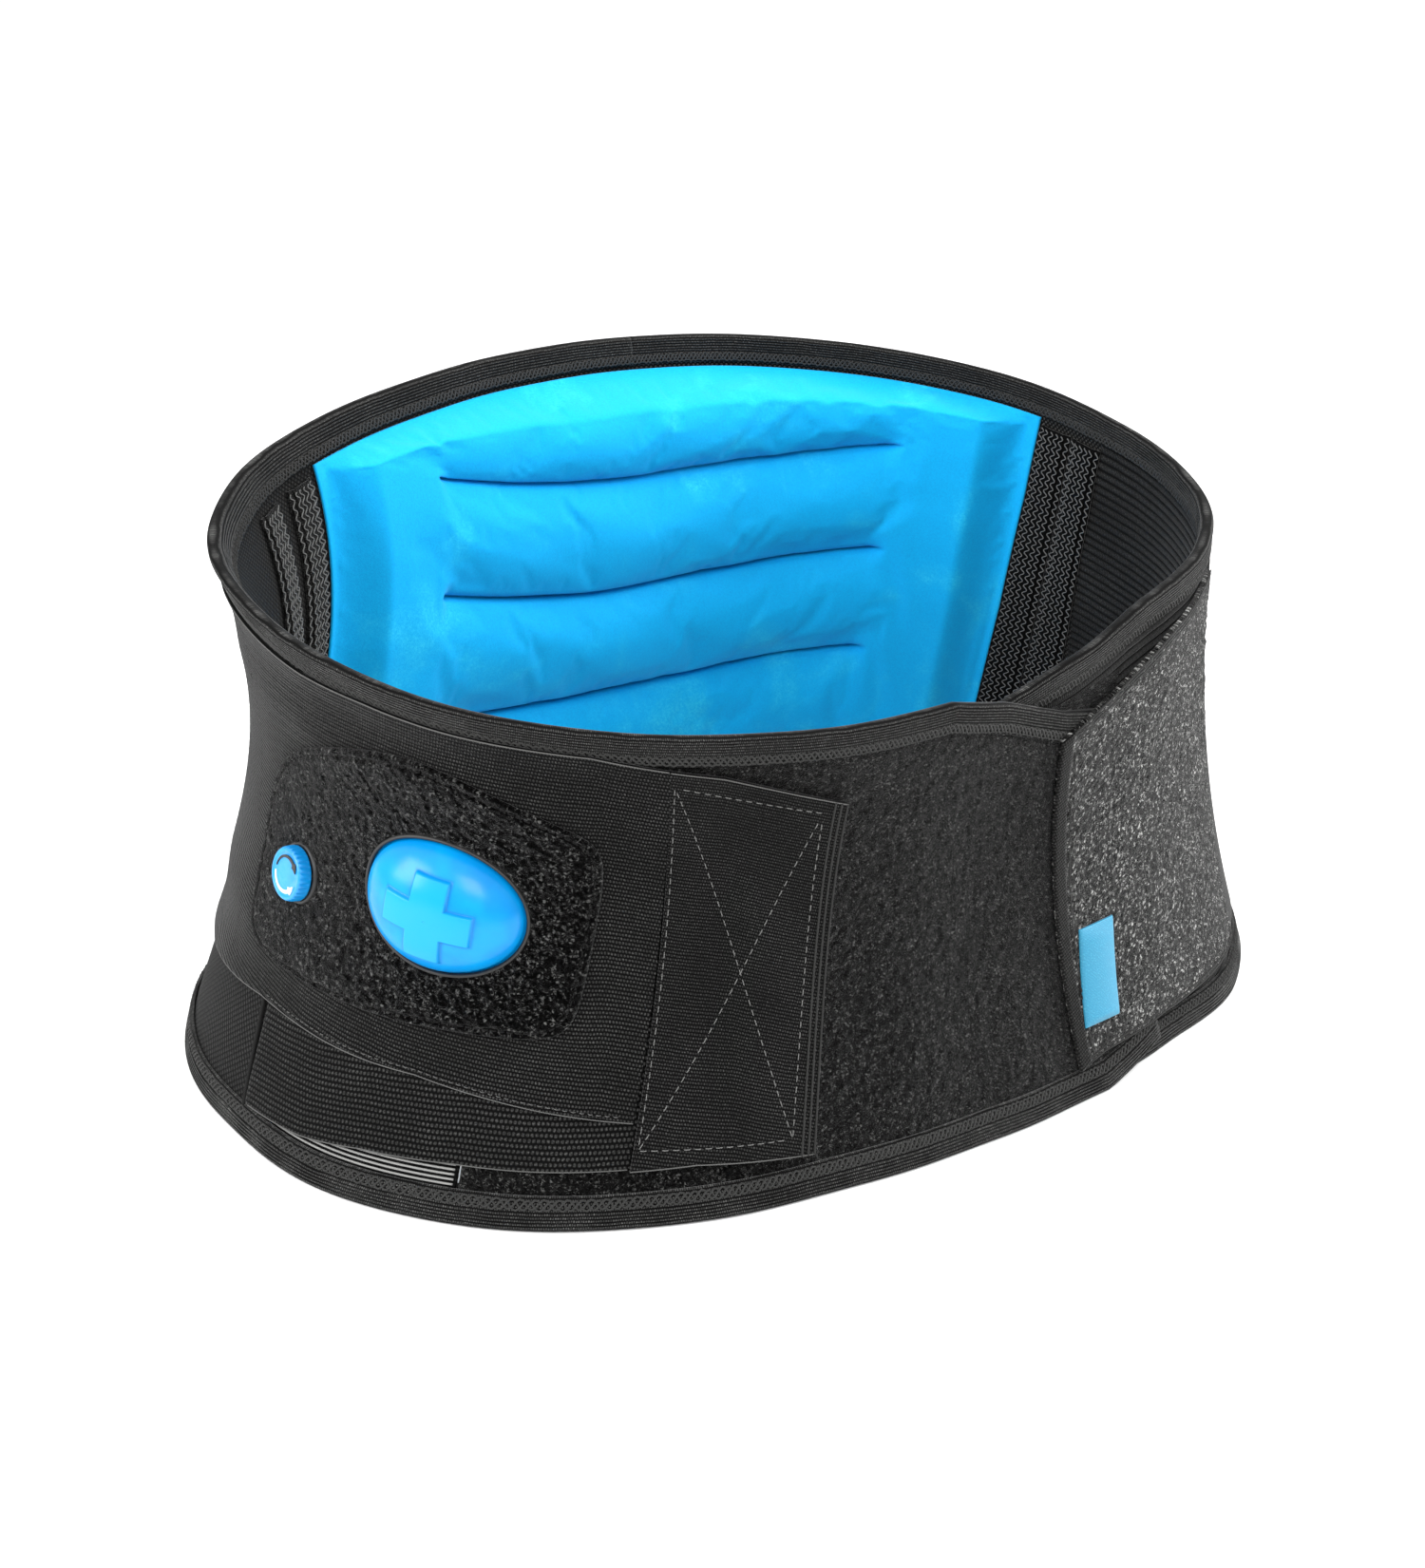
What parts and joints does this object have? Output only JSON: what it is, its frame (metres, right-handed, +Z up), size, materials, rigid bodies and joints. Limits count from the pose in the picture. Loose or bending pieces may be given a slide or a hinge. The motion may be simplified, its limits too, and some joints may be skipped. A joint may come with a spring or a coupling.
{
  "type": "lumbar support belt",
  "caption": "Elastic lumbar support belt closed in a loop, with an inflatable back pad, a squeeze pump with a release valve, a pull strap and hook-and-loop front ends.",
  "frame": {"origin": "middle of the closed belt's box, on the surface it stands on", "axes": "+Z up, +Y towards the wearer's back, +X towards the side with the overlapping wing"},
  "size_m": [0.4151, 0.3286, 0.2131],
  "materials": {
    "mesh_cloth": "black warp-knitted mesh, matte",
    "elastic": "black ribbed woven elastic, matte with a light sheen",
    "loop_pile": "black brushed loop pile, speckled",
    "grey_loop_pile": "dark grey brushed loop pile, speckled",
    "binding": "black braided tape with zigzag stitching",
    "hook": "black moulded hook tape",
    "blue_velour": "bright blue fine velour",
    "blue_rubber": "glossy blue moulded elastomer",
    "blue_label": "blue woven satin label, blank",
    "clear_vinyl": "clear soft vinyl",
    "black_plastic": "black moulded plastic",
    "spring_steel": "flat spring steel, plastic dipped"
  },
  "bodies": {
    "back": {"back_panel": "mesh_cloth", "top_binding_back": "binding", "bottom_binding_back": "binding", "stay_casing_1": "binding", "stay_casing_2": "binding", "stay_casing_3": "binding", "stay_casing_4": "binding", "stay_1": "spring_steel", "stay_2": "spring_steel", "stay_3": "spring_steel", "stay_4": "spring_steel", "air_pad_cover": "blue_velour", "air_bladder": "clear_vinyl", "bladder_port": "clear_vinyl", "hose_grommet": "black_plastic", "back_hose": "clear_vinyl", "strap_anchor": "elastic", "wing_anchor": "elastic"},
    "left_side": {"left_side_panel": "mesh_cloth", "left_elastic_panel": "elastic", "front_panel": "loop_pile", "top_binding_left": "binding", "bottom_binding_left": "binding", "front_end_hook": "hook", "side_hose": "clear_vinyl", "strap_root": "elastic"},
    "strap": {"strap_upper_band": "elastic", "strap_lower_band": "elastic", "pump_patch": "loop_pile", "pump_base": "blue_rubber", "bulb_collar": "blue_rubber", "inlet_valve": "black_plastic", "outlet_valve": "black_plastic", "link_tube": "clear_vinyl", "valve_body": "black_plastic", "strap_hose": "clear_vinyl"},
    "strap_tab": {"strap_tab": "elastic", "strap_tab_hook": "hook"},
    "bulb": {"pump_bulb": "blue_rubber"},
    "valve_knob": {"valve_knob": "blue_rubber", "valve_spindle": "black_plastic"},
    "right_side": {"wing_root": "elastic", "right_side_panel": "elastic", "flap_loop": "loop_pile", "top_binding_right": "binding", "bottom_binding_right": "binding"},
    "wing": {"wing_band": "elastic", "wing_panel": "grey_loop_pile"},
    "wing_tab": {"wing_tab": "grey_loop_pile", "wing_hem": "binding", "wing_tab_hook": "hook", "side_label": "blue_label"}
  },
  "joints": [
    {"name": "closure_open", "type": "hinge", "parent": "back", "child": "left_side", "pos_m": [-0.19839, 0.02901, 0], "axis": [0, 0, -1], "range_deg": [0, 50]},
    {"name": "right_side_open", "type": "hinge", "parent": "back", "child": "right_side", "pos_m": [0.20619, 0.03711, 0], "axis": [0, 0, 1], "range_deg": [0, 25]},
    {"name": "wing_open", "type": "hinge", "parent": "right_side", "child": "wing", "pos_m": [0.19977, -0.02878, 0], "axis": [0, 0, 1], "range_deg": [0, 60]},
    {"name": "wing_tab_peel", "type": "hinge", "parent": "wing", "child": "wing_tab", "pos_m": [0.11031, -0.1164, 0.01635], "axis": [-0.0996, 0.0758, 0.9921], "range_deg": [0, 100]},
    {"name": "strap_peel", "type": "hinge", "parent": "left_side", "child": "strap", "pos_m": [-0.20485, -0.04648, 0], "axis": [0, 0, -1], "range_deg": [0, 60]},
    {"name": "strap_tab_peel", "type": "hinge", "parent": "strap", "child": "strap_tab", "pos_m": [-0.08265, -0.16018, 0.01753], "axis": [-0.1249, -0.116, -0.9854], "range_deg": [0, 120]},
    {"name": "bulb_press", "type": "slide", "parent": "strap", "child": "bulb", "axis": [0.6115, 0.7913, 0], "range_m": [0, 0.004], "stiffness_N_per_m": 900},
    {"name": "valve_turn", "type": "hinge", "parent": "strap", "child": "valve_knob", "pos_m": [-0.16851, -0.07189, 0.08947], "axis": [-0.8901, -0.4038, 0.2115], "range_deg": [0, 180]}
  ],
  "couplings": [
    {"joint": "right_side_open", "follows": "closure_open", "ratio": 0.5},
    {"joint": "wing_open", "follows": "closure_open", "ratio": 1.2}
  ]
}
